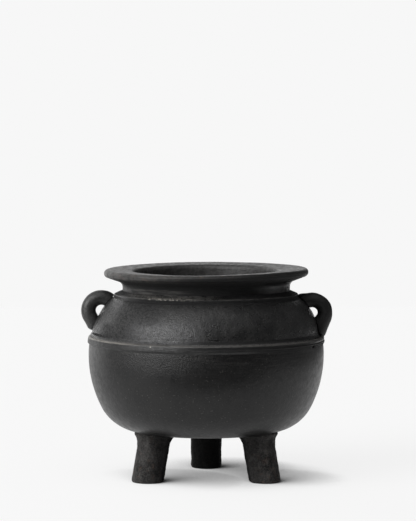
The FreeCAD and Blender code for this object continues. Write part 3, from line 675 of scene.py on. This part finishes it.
def leg_patches(tree, looks):
    """Pale scuffs, brown smears of earth near the sole, and painted shade on the sides towards the pot's
    middle.
    """
    scuffs = mottled(tree, 7 * MM, 4.0, 0.7, (0.5, 0.68), (0.0, 0.5))
    looks = patched(tree, looks, scuffs, DUST_AND_HIGHLIGHT)
    up = coordinate(tree, "Z")
    low = spread(tree, up, 12 * MM, 52 * MM, 1.0, 0.25)
    smear = share_of(tree, low, mottle=(8 * MM, 5.0, 1.3, (0.5, 0.72), (0.0, 0.45)))
    looks = patched(tree, looks, smear, EARTH)
    # Painted shade on the sides of the legs towards the pot's axis, over the rear leg, and over the halves of
    # the front legs nearer the middle
    lean = maths(tree, "MULTIPLY", up, math.tan(LEG_SPLAY))
    upright = maths(tree, "ADD", away_from_axis(tree), lean)
    inner = spread(tree, upright, LEG_CIRCLE - 12 * MM, LEG_CIRCLE + 1 * MM, 1.0, 0.0)
    sideways = maths(tree, "ABSOLUTE", coordinate(tree, "X"), 0.0)
    middle = spread(tree, sideways, 66 * MM, 86 * MM, 0.6, 0.0)
    shade_share = maths(tree, "MAXIMUM", inner, middle)
    return patched(tree, looks, shade_share, PAINTED_SHADE, strength=0.9, roughness=0.9)


# The pieces

bowl = turned("bowl_clay", "bowl", faces={0: 2.0 * MM, 1: 5.0 * MM}, segments=420, relief=bowl_relief)
shoulder = turned("shoulder_clay", "shoulder", faces={0: 1.0 * MM, 1: 4.0 * MM, 2: 1.0 * MM, 5: 1.0 * MM},
                  segments=640, relief=shoulder_relief)
collar = turned("collar_clay", "neck_collar", faces={0: 0.9 * MM}, segments=500, relief=collar_relief,
                sag=lip_sag)
cordon = turned("cordon_clay", "shoulder_cordon", faces={0: 0.6 * MM}, segments=720, relief=cordon_relief)
ears = [remeshed(f"{node}_clay", node, voxel=0.8 * MM, relief=ear_relief)
        for node in ("ear_left", "ear_right")]
legs = [remeshed(f"{node}_clay", node, voxel=1.0 * MM, relief=leg_relief)
        for node in ("leg_front_left", "leg_front_right", "leg_rear")]

moulded = clay(
    "moulded_black_clay", dark=(0.005, 0.005, 0.0053), light=(0.011, 0.0107, 0.0105), roughness=(0.33, 0.43),
    grains=[(11.0 * MM, 0.25 * MM, 1.5), (3.0 * MM, 0.2 * MM, 1.0), (1.6 * MM, 0.7 * MM, 0.9, upper_bowl)],
    patches=bowl_patches, shine=0.36)
worked = clay(
    "worked_black_clay", dark=(0.004, 0.0042, 0.0045), light=(0.030, 0.0295, 0.029), roughness=(0.25, 0.42),
    grains=[(4.5 * MM, 0.4 * MM, 1.4), (1.7 * MM, 0.8 * MM, 0.9)], patches=shoulder_patches)
thrown = clay(
    "thrown_black_clay", dark=(0.006, 0.006, 0.0063), light=(0.022, 0.021, 0.020), roughness=(0.38, 0.56),
    grains=[(9.0 * MM, 0.25 * MM, 8.0), (1.6 * MM, 0.4 * MM, 1.0)], patches=collar_patches)
pressed = clay(
    "pressed_black_clay", dark=(0.006, 0.006, 0.0063), light=(0.020, 0.0195, 0.019), roughness=(0.38, 0.54),
    grains=[(9.0 * MM, 0.2 * MM, 6.0), (1.6 * MM, 0.4 * MM, 1.0)], patches=cordon_patches)
rolled = clay(
    "rolled_black_clay", dark=(0.014, 0.014, 0.014), light=(0.047, 0.0465, 0.046), roughness=(0.36, 0.48),
    grains=[(5.0 * MM, 0.3 * MM, 1.0), (1.6 * MM, 0.2 * MM, 1.0)], patches=ear_patches)
footed = clay(
    "leg_black_clay", dark=(0.012, 0.0117, 0.0115), light=(0.060, 0.0575, 0.056), roughness=(0.52, 0.72),
    grains=[(4.5 * MM, 0.9 * MM, 1.0), (1.6 * MM, 0.7 * MM, 1.0)], patches=leg_patches, shine=0.1)
coats = [(moulded, [bowl]), (worked, [shoulder]), (thrown, [collar]), (pressed, [cordon]), (rolled, ears),
         (footed, legs)]
for material, pieces in coats:
    for piece in pieces:
        piece.data.materials.clear()
        piece.data.materials.append(material)


# The floor

FLOOR_SIDE = 1.2
FLOOR_FRONT = -0.42
FLOOR_BACK = 3.0
WHITE = (1, 1, 1, 1)
PAPER = (0.94, 0.94, 0.94, 1)
PALE_SHARE = 0.80     # of the paper, which the camera sees as pale ground
SHADE_REACH = 0.112   # how far from the pot the pale ground starts to darken
SHADE_FROM = Vector((-0.85, -0.85, 0.5)).normalized()   # the side that the light comes from
SHADE_SAMPLES = 16
SHADE_SPAN = (0.45, 0.90)   # openness where the ground is darkest and where palest

floor_mesh = bpy.data.meshes.new("floor")
floor_corners = [(-FLOOR_SIDE, FLOOR_FRONT, 0), (FLOOR_SIDE, FLOOR_FRONT, 0),
                 (FLOOR_SIDE, FLOOR_BACK, 0), (-FLOOR_SIDE, FLOOR_BACK, 0)]
floor_mesh.from_pydata(floor_corners, [], [(0, 1, 2, 3)])
floor = bpy.data.objects.new("floor", floor_mesh)
bpy.context.scene.collection.objects.link(floor)
paper = bpy.data.materials.new("pale_paper")
paper.use_nodes = True
floor_mesh.materials.append(paper)
tree = paper.node_tree
paper_shader = tree.nodes["Principled BSDF"]
paper_shader.inputs["Base Color"].default_value = PAPER
paper_shader.inputs["Roughness"].default_value = 1.0
paper_shader.inputs["Specular IOR Level"].default_value = 0.0

# The camera, and any gloss or glass, sees most of the paper as a pale ground that darkens near the pot
path = add(tree, "ShaderNodeLightPath", {}).outputs
looked_at = maths(tree, "MAXIMUM", path["Is Camera Ray"], path["Is Glossy Ray"])
looked_at = maths(tree, "MAXIMUM", looked_at, path["Is Transmission Ray"])
toward = add(tree, "ShaderNodeCombineXYZ", dict(zip("XYZ", SHADE_FROM))).outputs[0]
nearness = add(tree, "ShaderNodeAmbientOcclusion", {"Distance": SHADE_REACH, "Normal": toward},
               samples=SHADE_SAMPLES)
openness = spread(tree, nearness.outputs["AO"], *SHADE_SPAN, 0.0, 1.0, smooth=False)
pale = add(tree, "ShaderNodeEmission", {"Color": WHITE, "Strength": openness})
pale_share = maths(tree, "MULTIPLY", looked_at, PALE_SHARE)
ground = add(tree, "ShaderNodeMixShader", {0: pale_share, 1: paper_shader.outputs[0], 2: pale.outputs[0]})
tree.links.new(ground.outputs[0], tree.nodes["Material Output"].inputs["Surface"])


# Light

# Each light: its direction, cosines of where it is full and where it ends, and its strength
BACKDROP = ((-0.55, 1.0, 0.05), 0.85, 0.58, 0.85)
LIGHTS = [
    ((-0.77, -0.56, 0.30), 0.965, 0.86, 4.6),
    ((-0.30, -0.50, 1.0), 0.95, 0.60, 1.0),
    ((0.93, 0.1, 0.20), 0.90, 0.45, 0.14),
    ((-0.50, 0.90, 0.15), 0.92, 0.72, 0.45),
    BACKDROP,
]
DARK_ROOM = 0.01
PALE = 0.93

world = bpy.data.worlds.new("studio")
bpy.context.scene.world = world
world.use_nodes = True
tree = world.node_tree
heading = add(tree, "ShaderNodeTexCoord", {}).outputs["Generated"]


def lobe(direction, full, end, power):
    """Light from round a direction, fading out between two cosines."""
    likeness = add(tree, "ShaderNodeVectorMath", {0: heading, 1: Vector(direction).normalized()},
                   operation="DOT_PRODUCT").outputs["Value"]
    return spread(tree, likeness, end, full, 0.0, power)


strength = DARK_ROOM
for light in LIGHTS:
    strength = maths(tree, "ADD", strength, lobe(*light))
# The camera sees the pale backdrop all round, and a gloss or glass sees it where it stands
path = add(tree, "ShaderNodeLightPath", {}).outputs
mirrored = maths(tree, "ADD", path["Is Glossy Ray"], path["Is Transmission Ray"])
mirrored = maths(tree, "MULTIPLY", mirrored, lobe(*BACKDROP[:3], PALE))
strength = maths(tree, "MAXIMUM", strength, mirrored)
strength = blended(tree, path["Is Camera Ray"], strength, PALE)
tree.links.new(strength, tree.nodes["Background"].inputs["Strength"])
tree.nodes["Background"].inputs["Color"].default_value = WHITE


# The camera, with its sensor along the taller side of the picture

SENSOR = 36
FOCAL_PIXELS = 2400
PICTURE_HEIGHT = 521
CAMERA_PLACE = (0.0025, -3.384, 0.515)
LOOKS_DOWN = 3.504
FARTHEST_SEEN = 200

camera_data = bpy.data.cameras.new("camera")
camera_data.sensor_width = SENSOR
camera_data.lens = SENSOR * FOCAL_PIXELS / PICTURE_HEIGHT
camera_data.clip_end = FARTHEST_SEEN
camera = bpy.data.objects.new("camera", camera_data)
camera.location = CAMERA_PLACE
camera.rotation_euler = (math.radians(90 - LOOKS_DOWN), 0, 0)
bpy.context.scene.collection.objects.link(camera)
bpy.context.scene.camera = camera
bpy.context.scene.view_settings.view_transform = "Standard"
